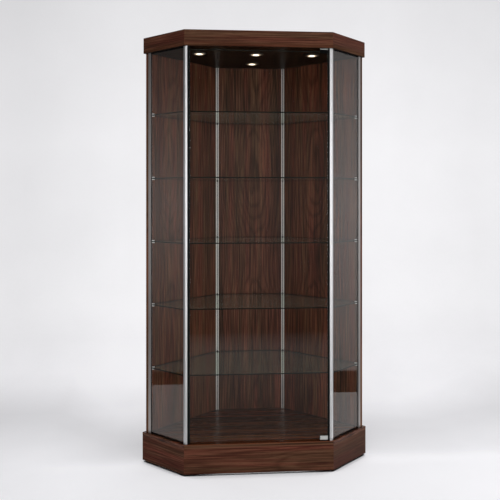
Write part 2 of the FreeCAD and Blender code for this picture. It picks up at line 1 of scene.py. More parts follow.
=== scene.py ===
"""Corner curio cabinet: finishes, glass edges, driven screw heads, backdrop, light and camera."""
import bpy
import bmesh
import math
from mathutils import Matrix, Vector


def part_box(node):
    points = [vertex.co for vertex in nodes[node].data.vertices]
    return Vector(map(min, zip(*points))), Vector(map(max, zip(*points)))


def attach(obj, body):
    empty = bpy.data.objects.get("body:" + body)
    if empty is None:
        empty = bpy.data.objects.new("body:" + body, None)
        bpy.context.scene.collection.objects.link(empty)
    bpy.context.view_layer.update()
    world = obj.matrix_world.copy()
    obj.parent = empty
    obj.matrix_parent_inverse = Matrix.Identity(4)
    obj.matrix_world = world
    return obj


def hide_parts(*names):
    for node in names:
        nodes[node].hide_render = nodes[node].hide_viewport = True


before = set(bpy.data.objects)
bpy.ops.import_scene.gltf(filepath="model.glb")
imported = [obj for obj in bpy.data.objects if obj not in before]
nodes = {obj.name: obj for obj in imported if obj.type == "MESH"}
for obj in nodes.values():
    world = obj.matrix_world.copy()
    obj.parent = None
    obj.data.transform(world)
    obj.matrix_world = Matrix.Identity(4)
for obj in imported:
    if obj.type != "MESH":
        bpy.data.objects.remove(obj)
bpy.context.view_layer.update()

X = (1.0, 0.0, 0.0)
Y = (0.0, 1.0, 0.0)
Z = (0.0, 0.0, 1.0)
DIAGONAL = math.sqrt(0.5)
LEFT_SIDE = (-DIAGONAL, -DIAGONAL, 0.0)     # outward from the left side glass
RISING = (DIAGONAL, DIAGONAL, 0.0)          # along the right side face and the left wall
FALLING = (-DIAGONAL, DIAGONAL, 0.0)        # along the left side face and the right wall
SHELVES = range(1, 6)
BLACK = (0.0, 0.0, 0.0, 1.0)


# ---- node helpers --------------------------------------------------------------------------------

def put(tree, value, socket):
    """Give a socket a plain value, or link it to another node's output."""
    if isinstance(value, bpy.types.NodeSocket):
        tree.links.new(value, socket)
    else:
        socket.default_value = value


def add_node(tree, kind, inputs=None, **settings):
    node = tree.nodes.new(kind)
    for name, value in settings.items():
        setattr(node, name, value)
    for name, value in (inputs or {}).items():
        put(tree, value, node.inputs[name])
    return node


def calc(tree, operation, *values):
    node = add_node(tree, "ShaderNodeMath", operation=operation)
    for socket, value in zip(node.inputs, values):
        put(tree, value, socket)
    return node.outputs[0]


def plus(tree, first, second):
    return calc(tree, "ADD", first, second)


def minus(tree, first, second):
    return calc(tree, "SUBTRACT", first, second)


def times(tree, *values):
    """The product of two or more values, multiplied from the left."""
    product = values[0]
    for value in values[1:]:
        product = calc(tree, "MULTIPLY", product, value)
    return product


def distance_from(tree, value, centre):
    return calc(tree, "ABSOLUTE", minus(tree, value, centre))


def vector_calc(tree, operation, *values, output="Vector"):
    node = add_node(tree, "ShaderNodeVectorMath", operation=operation)
    for socket, value in zip(node.inputs, values):
        put(tree, value, socket)
    return node.outputs[output]


def dot(tree, first, second):
    return vector_calc(tree, "DOT_PRODUCT", first, second, output="Value")


def blend(tree, share, first, second, kind, socket_numbers):
    """Blend with a Mix node, whose value sockets can only be told apart by number."""
    node = add_node(tree, "ShaderNodeMix", data_type=kind)
    from_socket, to_socket, result_socket = socket_numbers
    put(tree, share, node.inputs["Factor"])
    put(tree, first, node.inputs[from_socket])
    put(tree, second, node.inputs[to_socket])
    return node.outputs[result_socket]


def blend_colour(tree, share, first, second):
    return blend(tree, share, first, second, "RGBA", (6, 7, 2))


def blend_vector(tree, share, first, second):
    return blend(tree, share, first, second, "VECTOR", (4, 5, 1))


def split(tree, vector):
    """A vector's parts, as outputs named X, Y and Z."""
    return add_node(tree, "ShaderNodeSeparateXYZ", {"Vector": vector}).outputs


def facing(tree):
    """The way the surface faces, without any relief."""
    return tree.nodes.new("ShaderNodeNewGeometry").outputs["Normal"]


def openness(tree, distance, samples, only_local=False):
    """Ambient occlusion: 1 in the open, less where something is nearer than the distance."""
    return add_node(tree, "ShaderNodeAmbientOcclusion", {"Distance": distance}, samples=samples,
                    only_local=only_local).outputs["AO"]


def blend_shaders(tree, share, first, second):
    node = add_node(tree, "ShaderNodeMixShader", {"Fac": share})
    tree.links.new(first, node.inputs[1])
    tree.links.new(second, node.inputs[2])
    return node.outputs["Shader"]


def spread(tree, value, low, high, out_low=0.0, out_high=1.0):
    """Map the values from low to high onto another range; beyond them it holds its end values."""
    node = add_node(tree, "ShaderNodeMapRange", {"Value": value, "From Min": low, "From Max": high,
                                                 "To Min": out_low, "To Max": out_high})
    return node.outputs["Result"]


def cloud(tree, place, scales=None, detail=2.0, roughness=0.5):
    """Soft noise from 0 to 1; scales are how many clouds there are to a metre along X, Y and Z."""
    if scales:
        place = vector_calc(tree, "MULTIPLY", place, scales)
    node = add_node(tree, "ShaderNodeTexNoise", {"Vector": place, "Scale": 1.0, "Detail": detail,
                                                 "Roughness": roughness})
    return node.outputs["Fac"]


def effect_group(name, inputs, outputs):
    """A shader node group with named sockets: its tree, and its own sockets to read and to fill."""
    tree = bpy.data.node_groups.new(name, "ShaderNodeTree")
    for label, kind, default in inputs:
        socket = tree.interface.new_socket(name=label, in_out="INPUT", socket_type=kind)
        socket.default_value = default
    for label, kind in outputs:
        tree.interface.new_socket(name=label, in_out="OUTPUT", socket_type=kind)
    start = tree.nodes.new("NodeGroupInput")
    end = tree.nodes.new("NodeGroupOutput")
    return tree, start.outputs, end.inputs


FLOAT = "NodeSocketFloat"
COLOUR = "NodeSocketColor"
VECTOR = "NodeSocketVector"


def on_board(tree, place, along, across):
    """Place on a board: X along the grain or the brushing, Y across it, Z through it."""
    through = vector_calc(tree, "CROSS_PRODUCT", along, across)
    parts = {name: dot(tree, place, way) for name, way in zip("XYZ", (along, across, through))}
    return add_node(tree, "ShaderNodeCombineXYZ", parts).outputs[0]


def walnut_figure():
    """Dark walnut laminate: growth rings arched about a heart line, long streaks and short pores."""
    tree, given, made = effect_group(
        "walnut figure",
        [("Place", VECTOR, (0, 0, 0)), ("Along", VECTOR, X), ("Across", VECTOR, Z),
         ("Dark", COLOUR, (0.016, 0.007, 0.004, 1)), ("Middle", COLOUR, (0.055, 0.020, 0.012, 1)),
         ("Light", COLOUR, (0.115, 0.046, 0.028, 1)), ("Heart line", FLOAT, 0.0),
         ("Ring spacing", FLOAT, 0.013), ("Contrast", FLOAT, 1.0), ("Sheen roughness", FLOAT, 0.36)],
        [("Color", COLOUR), ("Roughness", FLOAT), ("Height", FLOAT)])
    heart_wander = 0.10     # metres that the heart line strays to the sides
    heart_depth = 0.16      # metres from the heart of the trunk to the board, at most
    ripple_height = 0.02    # metres that a growth ring strays
    place = on_board(tree, given["Place"], given["Along"], given["Across"])
    stray = minus(tree, cloud(tree, place, (1.1, 0.0, 0.0), detail=1.0), 0.5)
    from_heart = minus(tree, split(tree, place)["Y"], given["Heart line"])
    from_heart = plus(tree, from_heart, times(tree, stray, heart_wander))
    depth = times(tree, cloud(tree, place, (1.7, 0.0, 0.0), detail=1.0), heart_depth)
    trunk = add_node(tree, "ShaderNodeCombineXYZ", {"X": from_heart, "Y": depth}).outputs[0]
    ripple = times(tree, cloud(tree, place, (3.0, 26.0, 26.0), detail=3.0), ripple_height)
    ring_radius = plus(tree, vector_calc(tree, "LENGTH", trunk, output="Value"), ripple)
    turns = calc(tree, "DIVIDE", ring_radius, given["Ring spacing"])
    rings = calc(tree, "MULTIPLY_ADD", calc(tree, "SINE", times(tree, turns, math.tau)), 0.5, 0.5)
    layer_scales = {"drift": (0.6, 12.0, 2.0), "streak": (3.0, 150.0, 2.0),
                    "thread": (6.0, 300.0, 1.0), "fine": (9.0, 420.0, 2.0), "pore": (30.0, 900.0, 1.0)}
    layers = {layer: cloud(tree, place, (lengthwise, crosswise, crosswise), detail=detail)
              for layer, (lengthwise, crosswise, detail) in layer_scales.items()}
    pore = spread(tree, layers["pore"], 0.6, 0.7)
    tone = times(tree, minus(tree, 1.0, calc(tree, "POWER", rings, 3.0)), 0.15)
    for layer, share in (("drift", 0.30), ("streak", 0.25), ("thread", 0.30)):
        tone = plus(tree, tone, times(tree, spread(tree, layers[layer], 0.32, 0.68), share))
    tone = calc(tree, "MULTIPLY_ADD", minus(tree, tone, 0.5), given["Contrast"], 0.5)
    colour = blend_colour(tree, spread(tree, tone, 0.05, 0.5), given["Dark"], given["Middle"])
    colour = blend_colour(tree, spread(tree, tone, 0.5, 0.95), colour, given["Light"])
    redder = vector_calc(tree, "MULTIPLY", colour, (1.10, 0.90, 0.90))
    browner = vector_calc(tree, "MULTIPLY", colour, (0.88, 1.12, 1.0))
    hue = cloud(tree, place, (1.5, 34.0, 34.0))
    colour = blend_colour(tree, spread(tree, hue, 0.35, 0.65), redder, browner)
    colour = blend_colour(tree, times(tree, pore, 0.5), colour, given["Dark"])
    tree.links.new(colour, made["Color"])
    rough = plus(tree, given["Sheen roughness"], times(tree, layers["fine"], 0.1))
    tree.links.new(plus(tree, rough, times(tree, pore, 0.15)), made["Roughness"])
    relief = minus(tree, times(tree, layers["streak"], 0.35), times(tree, pore, 0.8))
    tree.links.new(relief, made["Height"])
    return tree


def corner_wear_and_shade_mask():
    """1 along corners, as far in as Width: the mask for worn corners and for painted shade along
    corners; Patchiness is how much handling has broken it up.
    """
    tree, given, made = effect_group(
        "corner wear and painted shade",
        [("Place", VECTOR, (0, 0, 0)), ("Width", FLOAT, 0.0015), ("Patchiness", FLOAT, 1.0)],
        [("Corners", FLOAT)])
    rounded = add_node(tree, "ShaderNodeBevel", {"Radius": given["Width"]}, samples=4)
    agreement = dot(tree, rounded.outputs["Normal"], facing(tree))
    patches = cloud(tree, given["Place"], (55.0, 55.0, 55.0), detail=3.0)
    missing = times(tree, spread(tree, patches, 0.62, 0.40), given["Patchiness"])
    corner_mask = times(tree, spread(tree, agreement, 0.99, 0.80), minus(tree, 1.0, missing))
    tree.links.new(corner_mask, made["Corners"])
    return tree


def painted_recess_shade():
    """For painted shade: 1 in the open and falling towards 0 deep in a slot or a corner of the same
    piece.
    """
    tree, given, made = effect_group("painted recess shade", [("Reach", FLOAT, 0.004)], [("Open", FLOAT)])
    around = openness(tree, given["Reach"], samples=6, only_local=True)
    tree.links.new(spread(tree, around, 0.45, 0.96), made["Open"])
    return tree


def contact_shade():
    """For painted shade: 1 in the open and falling towards 0 where the surface meets another piece."""
    tree, given, made = effect_group("contact shade", [("Reach", FLOAT, 0.03)], [("Open", FLOAT)])
    around = openness(tree, given["Reach"], samples=8)
    tree.links.new(spread(tree, around, 0.40, 0.92), made["Open"])
    return tree


def board_edges():
    """For a level board: 1 on its narrow edges, and the way the grain runs along each edge."""
    tree, given, made = effect_group(
        "board edges", [], [("Edge", FLOAT), ("Along", VECTOR), ("Across", VECTOR)])
    normal = facing(tree)
    edge = calc(tree, "LESS_THAN", calc(tree, "ABSOLUTE", dot(tree, normal, Z)), 0.5)
    tree.links.new(edge, made["Edge"])
    round_the_edge = vector_calc(tree, "NORMALIZE", vector_calc(tree, "CROSS_PRODUCT", Z, normal))
    tree.links.new(blend_vector(tree, edge, X, round_the_edge), made["Along"])
    tree.links.new(blend_vector(tree, edge, Y, Z), made["Across"])
    return tree


def drawn_lines():
    """Fine lines left by drawing or brushing metal, with slight handling marks."""
    tree, given, made = effect_group(
        "drawn lines",
        [("Place", VECTOR, (0, 0, 0)), ("Along", VECTOR, Z), ("Across", VECTOR, X),
         ("Roughness", FLOAT, 0.3), ("Variation", FLOAT, 0.12)],
        [("Shade", FLOAT), ("Roughness", FLOAT), ("Height", FLOAT)])
    place = on_board(tree, given["Place"], given["Along"], given["Across"])
    lines = cloud(tree, place, (6.0, 1500.0, 1500.0))
    marks = cloud(tree, place, (9.0, 60.0, 60.0), detail=3.0)
    both = plus(tree, times(tree, lines, 0.6), times(tree, marks, 0.4))
    shift = times(tree, minus(tree, both, 0.5), given["Variation"])
    tree.links.new(plus(tree, given["Roughness"], shift), made["Roughness"])
    tree.links.new(spread(tree, both, 0.3, 0.7, 0.9, 1.0), made["Shade"])
    tree.links.new(lines, made["Height"])
    return tree


def speckle():
    """Even fine mottling, for pressed board, moulded plastic, rubber and plated steel."""
    tree, given, made = effect_group(
        "speckle",
        [("Place", VECTOR, (0, 0, 0)), ("Grains per metre", FLOAT, 900.0),
         ("Dark", COLOUR, BLACK), ("Light", COLOUR, (1, 1, 1, 1)),
         ("Roughness", FLOAT, 0.5), ("Variation", FLOAT, 0.2)],
        [("Color", COLOUR), ("Roughness", FLOAT), ("Height", FLOAT)])
    size = vector_calc(tree, "SCALE", given["Place"])
    tree.links.new(given["Grains per metre"], size.node.inputs["Scale"])
    grains = cloud(tree, size, detail=3.0, roughness=0.6)
    patches = cloud(tree, given["Place"], (14.0, 14.0, 14.0))
    mixed = plus(tree, times(tree, grains, 0.7), times(tree, patches, 0.3))
    tree.links.new(blend_colour(tree, spread(tree, mixed, 0.35, 0.65), given["Dark"], given["Light"]),
                   made["Color"])
    shift = times(tree, minus(tree, mixed, 0.5), given["Variation"])
    tree.links.new(plus(tree, given["Roughness"], shift), made["Roughness"])
    tree.links.new(grains, made["Height"])
    return tree


WALNUT_FIGURE = walnut_figure()
CORNER_WEAR_AND_SHADE = corner_wear_and_shade_mask()
RECESS_SHADE = painted_recess_shade()
CONTACT_SHADE = contact_shade()
BOARD_EDGES = board_edges()
DRAWN_LINES = drawn_lines()
SPECKLE = speckle()


# ---- materials -----------------------------------------------------------------------------------

def set_shader(tree, shader, **values):
    """Set or link the shader's sockets; an underscore stands for the space in a socket's name."""
    for label, value in values.items():
        put(tree, value, shader.inputs[label.replace("_", " ")])


def new_material(name, **plain):
    """A material with one Principled shader, some plain values on it, and the place in metres."""
    material = bpy.data.materials.new(name)
    material.use_nodes = True
    tree = material.node_tree
    shader = tree.nodes["Principled BSDF"]
    set_shader(tree, shader, **plain)
    place = tree.nodes.new("ShaderNodeTexCoord").outputs["Object"]
    return material, tree, shader, place


def show(tree, surface):
    tree.links.new(surface, tree.nodes["Material Output"].inputs["Surface"])


def use_effect(tree, group, inputs):
    node = tree.nodes.new("ShaderNodeGroup")
    node.node_tree = group
    for label, value in inputs.items():
        put(tree, value, node.inputs[label])
    return node.outputs


def give_relief(tree, shader, height, depth, strength=0.5):
    bump = add_node(tree, "ShaderNodeBump", {"Height": height, "Strength": strength,
                                             "Distance": depth})
    set_shader(tree, shader, Normal=bump.outputs["Normal"])


FACE_TONES = ((0.018, 0.0058, 0.0030, 1), (0.060, 0.0190, 0.0105, 1), (0.140, 0.054, 0.032, 1))
PANEL_TONES = ((0.018, 0.0070, 0.0038, 1), (0.062, 0.0215, 0.0120, 1), (0.150, 0.057, 0.033, 1))
DECK_TONES = ((0.021, 0.0065, 0.0022, 1), (0.072, 0.0215, 0.0084, 1), (0.176, 0.060, 0.026, 1))
# Darker tones on the ceiling board's underside: painted shade under the crown; its edges keep the face
# tones.
SHADED_CEILING_TONES = ((0.006, 0.003, 0.0015, 1), (0.018, 0.008, 0.004, 1), (0.04, 0.018, 0.009, 1))
RUBBED_WALNUT = (0.15, 0.070, 0.045, 1)
RING_SPACING = 0.012


def tinted(tones, red, green, blue):
    return [(tone[0] * red, tone[1] * green, tone[2] * blue, 1) for tone in tones]


def walnut(name, along, across, tones, heart=0.0, contrast=1.0, sheen=0.50, gloss=0.06,
           shade_reach=0.03, level_board=False, place_scale=None):
    """Walnut laminate with painted shade where it meets another piece; a level board's edges carry the
    same tones and grain as the upright boards.
    """
    wear_width = 0.0012
    wear_share = 0.25
    wear_roughness = 0.15
    shade_left = 0.35       # brightness right beside another piece
    material, tree, shader, place = new_material(name, Specular_IOR_Level=gloss)
    if place_scale:
        place = vector_calc(tree, "MULTIPLY", place, place_scale)
    if level_board:
        edges = use_effect(tree, BOARD_EDGES, {})
        along, across = edges["Along"], edges["Across"]
        tones = [blend_colour(tree, edges["Edge"], tone, edge_tone)
                 for tone, edge_tone in zip(tones, FACE_TONES)]
    dark, middle, light = tones
    figure = use_effect(tree, WALNUT_FIGURE, {
        "Place": place, "Along": along, "Across": across, "Dark": dark, "Middle": middle,
        "Light": light, "Heart line": heart, "Ring spacing": RING_SPACING, "Contrast": contrast,
        "Sheen roughness": sheen})
    corner_mask = use_effect(tree, CORNER_WEAR_AND_SHADE, {"Place": place, "Width": wear_width})["Corners"]
    corner_toned = blend_colour(tree, times(tree, corner_mask, wear_share), figure["Color"], RUBBED_WALNUT)
    # Painted shade: the colour falls towards black where the board meets another piece.
    in_open = use_effect(tree, CONTACT_SHADE, {"Reach": shade_reach})["Open"]
    shaded = blend_colour(tree, spread(tree, in_open, 0.0, 1.0, shade_left, 1.0), BLACK, corner_toned)
    rough = plus(tree, figure["Roughness"], times(tree, corner_mask, wear_roughness))
    set_shader(tree, shader, Base_Color=shaded, Roughness=rough)
    give_relief(tree, shader, figure["Height"], 0.0002)
    return material


# How a metal's corners and slots look: RUBBED_BRIGHT gives corners rubbed bright by wear,
# SHADED_CORNERS gives painted shade along the corners beside the slots; a higher "slots" value makes
# the painted shade in the slots darker.
RUBBED_BRIGHT = {"tone": (0.93, 0.93, 0.93, 1), "share": 0.4, "Width": 0.0006, "Patchiness": 1.0,
                 "slots": 1.0}
SHADED_CORNERS = {"tone": (0.03, 0.03, 0.03, 1), "share": 0.80, "Width": 0.0008, "Patchiness": 0.0,
                  "slots": 3.0}


def metal_look(tree, shader, place, colour, along, across, roughness, corners=RUBBED_BRIGHT):
    """Colour and roughness of drawn or brushed metal, with painted shade deep in its slots; also adds
    its relief.
    """
    slot_reach = 0.008
    slot_left = 0.03        # brightness deep in a slot
    wear_polish = 0.08
    lines = use_effect(tree, DRAWN_LINES, {"Place": place, "Along": along, "Across": across,
                                           "Roughness": roughness})
    corner_mask = use_effect(tree, CORNER_WEAR_AND_SHADE, {"Place": place, "Width": corners["Width"],
                                         "Patchiness": corners["Patchiness"]})["Corners"]
    # Painted shade: the colour falls towards slot_left deep in a slot or a corner.
    in_open = use_effect(tree, RECESS_SHADE, {"Reach": slot_reach})["Open"]
    in_open = calc(tree, "POWER", in_open, corners["slots"])
    bright = times(tree, lines["Shade"], spread(tree, in_open, 0.0, 1.0, slot_left, 1.0))
    shaded = blend_colour(tree, bright, BLACK, colour)
    # With SHADED_CORNERS this is painted shade along the corners; with RUBBED_BRIGHT it is corners
    # worn bright.
    corner_toned = blend_colour(tree, times(tree, corner_mask, corners["share"]), shaded, corners["tone"])
    rough = minus(tree, lines["Roughness"], times(tree, corner_mask, wear_polish))
    give_relief(tree, shader, lines["Height"], 0.00003, 0.3)
    return corner_toned, rough


def metal(name, colour, along, across, roughness, metallic=1.0, corners=RUBBED_BRIGHT,
          painted_shade_side=None):
    """Drawn or brushed metal; a lower metallic value is the milky haze of thick anodising, and faces
    turned one given way can get painted shade, a darker colour.
    """
    material, tree, shader, place = new_material(name, Metallic=metallic)
    colour, rough = metal_look(tree, shader, place, colour, along, across, roughness, corners)
    # Painted shade: faces turned this way get a darker colour.
    if painted_shade_side:
        side_shade_colour = vector_calc(tree, "MULTIPLY", colour, (0.70, 0.70, 0.71))
        on_side = spread(tree, dot(tree, facing(tree), painted_shade_side), 0.80, 0.95)
        colour = blend_colour(tree, on_side, colour, side_shade_colour)
    set_shader(tree, shader, Base_Color=colour, Roughness=rough)
    return material


def gripping_nickel(name, colour, roughness):
    """Satin clips with black pads at each shelf; the back clips are black, painted shade, with a
    painted highlight at their inner end.
    """
    back_from = 0.1         # Y: only the back clips lie beyond it
    painted_highlight_reach = 0.1665   # X to either side: a back clip's bright end lies within it
    pad_overlap = 0.0007    # how far a pad shows above and below its shelf
    material, tree, shader, place = new_material(name)
    colour, rough = metal_look(tree, shader, place, colour, X, Z, roughness)
    spot = split(tree, place)
    at_back = calc(tree, "GREATER_THAN", spot["Y"], back_from)
    painted_highlight_end = calc(tree, "LESS_THAN", calc(tree, "ABSOLUTE", spot["X"]), painted_highlight_reach)
    # Painted highlight: the inner end of each back clip is brighter.
    colour = blend_colour(tree, times(tree, at_back, painted_highlight_end), colour, (0.92, 0.92, 0.92, 1))
    # Painted shade: the rest of each back clip is black, like the pads.
    pads_and_painted_shade = times(tree, at_back, minus(tree, 1.0, painted_highlight_end))
    for level in SHELVES:
        low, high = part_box("glass_shelf_%d" % level)
        away = distance_from(tree, spot["Z"], 0.5 * (low.z + high.z))
        beside_shelf = calc(tree, "LESS_THAN", away, 0.5 * (high.z - low.z) + pad_overlap)
        pads_and_painted_shade = calc(tree, "MAXIMUM", pads_and_painted_shade, beside_shelf)
    set_shader(tree, shader, Base_Color=blend_colour(tree, pads_and_painted_shade, colour, (0.006, 0.006, 0.006, 1)),
               Metallic=minus(tree, 1.0, pads_and_painted_shade), Roughness=plus(tree, rough, times(tree, pads_and_painted_shade, 0.2)))
    return material


def speckled(name, dark, light, grains, roughness, **plain):
    """A finish that has only the speckle effect: board, plastic, rubber, steel or a glass edge."""
    material, tree, shader, place = new_material(name, **plain)
    look = use_effect(tree, SPECKLE, {"Place": place, "Grains per metre": grains, "Dark": dark,
                                      "Light": light, "Roughness": roughness})
    set_shader(tree, shader, Base_Color=look["Color"], Roughness=look["Roughness"])
    give_relief(tree, shader, look["Height"], 0.0001)
    return material


def pane_glass(name, tint, **gloss):
    """Clear glass with faint smears that lets lamps and soft light through."""
    material, tree, shader, place = new_material(name, **gloss)
    smears = cloud(tree, place, (7.0, 7.0, 7.0), detail=3.0)
    smeared_tint = [0.99 * part for part in tint]
    colour = blend_colour(tree, spread(tree, smears, 0.4, 0.7), tint, smeared_tint)
    set_shader(tree, shader, Base_Color=colour,
               Roughness=spread(tree, smears, 0.45, 0.75, 0.0, 0.02))
    path = tree.nodes.new("ShaderNodeLightPath").outputs
    passes = calc(tree, "MAXIMUM", path["Is Shadow Ray"], path["Is Diffuse Ray"])
    clear = add_node(tree, "ShaderNodeBsdfTransparent", {"Color": (0.93, 0.95, 0.94, 1)})
    show(tree, blend_shaders(tree, passes, shader.outputs["BSDF"], clear.outputs["BSDF"]))
    return material


def lit_diffuser():
    """Frosted lens, warm white, brightest near the middle of each light and dim at its rim."""
    lens_radius = 0.025
    further_back = 0.009    # the brightest spot is this far behind the middle of each lens
    material, tree, shader, place = new_material("lit frosted lens", Roughness=0.45,
                                                 Emission_Strength=4.0)
    low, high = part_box("downlight_lenses")
    row = low.y + lens_radius + further_back
    rear = high.y - lens_radius + further_back
    centres = ((low.x + lens_radius, row), (0.0, row), (high.x - lens_radius, row), (0.0, rear))
    distances = [vector_calc(tree, "DISTANCE", place, (x, y, high.z), output="Value")
                 for x, y in centres]
    nearest = distances[0]
    for distance in distances[1:]:
        nearest = calc(tree, "MINIMUM", nearest, distance)
    halo = spread(tree, nearest, lens_radius, 0.55 * lens_radius)
    core = spread(tree, nearest, 0.72 * lens_radius, 0.3 * lens_radius)
    glow = blend_colour(tree, halo, (0.015, 0.009, 0.004, 1), (0.14, 0.085, 0.040, 1))
    glow = blend_colour(tree, core, glow, (1.0, 0.88, 0.68, 1))
    frost = cloud(tree, place, (900.0, 900.0, 900.0))
    frosted = blend_colour(tree, frost, (0.50, 0.46, 0.40, 1), (0.62, 0.58, 0.52, 1))
    set_shader(tree, shader, Emission_Color=glow, Base_Color=frosted)
    give_relief(tree, shader, frost, 0.0001)
    return material


def led_board_finish():
    """White circuit board with a grid of small yellow emitters."""
    emitters_per_metre = 140.0
    material, tree, shader, place = new_material("emitter board", Roughness=0.35)
    cells = add_node(tree, "ShaderNodeTexVoronoi", {"Vector": place, "Scale": emitters_per_metre,
                                                    "Randomness": 0.0}, distance="CHEBYCHEV")
    emitter = spread(tree, cells.outputs["Distance"], 0.26, 0.22)
    speck = cloud(tree, place, (1200.0, 1200.0, 1200.0))
    white = blend_colour(tree, speck, (0.72, 0.72, 0.69, 1), (0.85, 0.85, 0.82, 1))
    set_shader(tree, shader, Base_Color=blend_colour(tree, emitter, white, (0.85, 0.62, 0.10, 1)))
    give_relief(tree, shader, emitter, 0.0008)
    return material


def threaded_steel():
    """Zinc plated feet: the stems carry a rolled thread with painted shade in its grooves, the pads
    are plain.
    """
    pitch = 0.00125
    pad_top = 0.0062
    thread_start = 0.0066
    material, tree, shader, place = new_material("threaded zinc steel", Metallic=1.0)
    look = use_effect(tree, SPECKLE, {"Place": place, "Grains per metre": 300.0,
                                      "Dark": (0.40, 0.41, 0.43, 1), "Light": (0.60, 0.61, 0.62, 1),
                                      "Roughness": 0.36})
    height = split(tree, place)["Z"]
    on_stem = spread(tree, height, pad_top, thread_start)
    thread = times(tree, calc(tree, "SINE", times(tree, height, math.tau / pitch)), on_stem)
    # Painted shade: the thread's grooves are darker.
    groove_shade = spread(tree, thread, -0.9, -0.2, 0.55, 1.0)
    set_shader(tree, shader, Roughness=look["Roughness"],
               Base_Color=blend_colour(tree, groove_shade, (0.10, 0.10, 0.10, 1), look["Color"]))
    give_relief(tree, shader, thread, 0.0004)
    return material


walnut_front = walnut("walnut across the front", X, Z, FACE_TONES, heart=0.035)
walnut_rising = walnut("walnut on right side and left wall", RISING, Z, FACE_TONES, heart=0.16,
                       contrast=0.65, gloss=0.12)
walnut_falling = walnut("walnut on left side and right wall", FALLING, Z, FACE_TONES, heart=-0.05)
walnut_panel = walnut("walnut back panel", Z, X, tinted(PANEL_TONES, 1.10, 1.08, 1.08), heart=0.035,
                      contrast=1.4, gloss=0.10, shade_reach=0.006)
walnut_panel_rising = walnut("walnut left wall panel", Z, RISING,
                             tinted(PANEL_TONES, 1.04, 1.0, 0.94),
                             heart=-0.27, contrast=1.3, shade_reach=0.006)
walnut_panel_falling = walnut("walnut right wall panel", Z, FALLING,
                              tinted(PANEL_TONES, 1.16, 1.06, 0.95),
                              heart=-0.14, contrast=1.3, shade_reach=0.006)
walnut_deck = walnut("walnut deck", X, Y, DECK_TONES, heart=0.8, contrast=1.5, sheen=0.18, gloss=0.15,
                     level_board=True, place_scale=(0.35, 0.5, 1.0))
walnut_ceiling_painted_shade = walnut("walnut ceiling, painted shade", X, Y, SHADED_CEILING_TONES, sheen=0.28, gloss=0.03,
                        level_board=True)
pressed_board = speckled("pressed board", (0.20, 0.13, 0.075, 1), (0.42, 0.30, 0.19, 1), 700.0, 0.8)
ANODISED = (0.90, 0.90, 0.91, 1)
aluminium = metal("drawn aluminium", ANODISED, Z, X, 0.42, metallic=0.91)
left_aluminium_painted_side_shade = metal("drawn aluminium, painted shade on left side", ANODISED, Z, X, 0.42, metallic=0.91,
                       painted_shade_side=LEFT_SIDE)
# Paler and warmer than the front uprights' aluminium: painted light on the back uprights, with painted
# shade along their slots and corners.
inner_aluminium_painted_light = metal("aluminium, painted light and shade", (0.99, 0.95, 0.93, 1), Z, X, 0.42, corners=SHADED_CORNERS)
# Darker than the other aluminium: painted shade on the outer uprights.
outer_aluminium_painted_shade = metal("aluminium, painted shade", (0.55, 0.52, 0.51, 1), Z, X, 0.45)
satin_nickel = metal("satin nickel", (0.92, 0.91, 0.89, 1), X, Z, 0.50)
clip_nickel = gripping_nickel("gripping nickel", (0.80, 0.79, 0.77, 1), 0.36)
bright_cover = metal("brushed cover", (0.50, 0.50, 0.49, 1), X, Z, 0.50)
bezel_nickel = metal("dark nickel", (0.20, 0.18, 0.16, 1), X, Y, 0.40)
zinc_steel = speckled("zinc plated steel", (0.42, 0.43, 0.45, 1), (0.62, 0.63, 0.64, 1), 300.0, 0.34,
                      Metallic=1.0)
black_clamp = speckled("black clamp", (0.0012, 0.0012, 0.0014, 1), (0.0030, 0.0030, 0.0033, 1),
                       1500.0, 0.42, Specular_IOR_Level=0.05)
black_rubber = speckled("black rubber", (0.0025, 0.0025, 0.0030, 1), (0.0070, 0.0070, 0.0075, 1),
                        1200.0, 0.62, Specular_IOR_Level=0.06)
black_plastic = speckled("black moulded plastic", (0.012, 0.012, 0.013, 1), (0.030, 0.030, 0.032, 1),
                         900.0, 0.5)
CLEAR_TINT = (0.985, 0.978, 0.975, 1)
SHELF_TINT = (0.78, 0.88, 0.79, 1)
shelf_pane = pane_glass("shelf glass", SHELF_TINT, IOR=1.01, Coat_Weight=0.65, Coat_IOR=1.5,
                        Coat_Roughness=0.01, Transmission_Weight=0.97)
door_pane = pane_glass("door glass", CLEAR_TINT, IOR=1.5, Transmission_Weight=1.0)
side_pane = pane_glass("side glass", CLEAR_TINT, IOR=1.5, Transmission_Weight=1.0)
shelf_edge = speckled("ground green edge", (0.0010, 0.0028, 0.0020, 1), (0.0025, 0.0060, 0.0045, 1),
                      2500.0, 0.45, Specular_IOR_Level=0.05)
# Lighter than the shelf edges: a painted highlight along the door's polished edge.
door_edge_painted_highlight = speckled("polished green edge, painted highlight", (0.0080, 0.0130, 0.0110, 1), (0.0180, 0.0270, 0.0240, 1),
                     2500.0, 0.45, Specular_IOR_Level=0.05)

